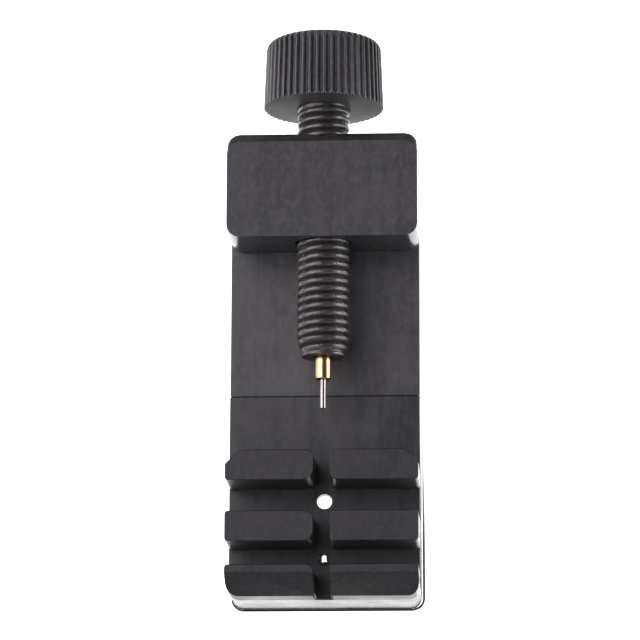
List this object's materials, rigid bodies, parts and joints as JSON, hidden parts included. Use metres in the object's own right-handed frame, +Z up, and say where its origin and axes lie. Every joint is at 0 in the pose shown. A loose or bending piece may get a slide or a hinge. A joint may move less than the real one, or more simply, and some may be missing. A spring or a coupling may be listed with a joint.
{
  "type": "watch link remover",
  "caption": "Plastic hand tool whose knob drives a threaded screw with a steel pin to push link pins out of a watch bracelet held against slotted fences.",
  "frame": {"origin": "centre of the footprint of the whole tool, on the table it stands on", "axes": "+Y along the screw towards the knob, +Z up from the table, +X to the right seen from the holder end"},
  "size_m": [0.0284, 0.0838, 0.0234],
  "materials": {
    "frame_plastic": "satin moulded",
    "holder_plastic": "satin moulded",
    "screw_plastic": "greased semi-gloss",
    "knob_plastic": "satin moulded",
    "brass": "turned bright",
    "steel": "drawn bright"
  },
  "bodies": {
    "base": {"frame": "frame_plastic"},
    "pin_carrier": {"push_pin": "steel"},
    "spindle": {"lead_screw": "screw_plastic", "knob": "knob_plastic", "pin_collar": "brass"},
    "platform": {"strap_holder": "holder_plastic"},
    "height_adjuster": {"height_screw": "holder_plastic"}
  },
  "joints": [
    {"name": "feed", "type": "slide", "parent": "base", "child": "pin_carrier", "axis": [0, -1, 0], "range_m": [-0.0165, 0.0045]},
    {"name": "spin", "type": "hinge", "parent": "pin_carrier", "child": "spindle", "pos_m": [0, -0.00645, 0.0144], "axis": [0, -1, 0], "range_deg": [-4752.5, 1296.5]},
    {"name": "height_turn", "type": "hinge", "parent": "base", "child": "height_adjuster", "pos_m": [0, -0.01665, 0.0005], "axis": [0, 0, -1], "range_deg": [0, 1350.5]},
    {"name": "holder_lift", "type": "slide", "parent": "base", "child": "platform", "axis": [0, 0, 1], "range_m": [0, 0.003]}
  ],
  "couplings": [
    {"joint": "spin", "follows": "feed", "rad_per_m": 5026.5},
    {"joint": "height_turn", "follows": "holder_lift", "rad_per_m": 7854}
  ]
}
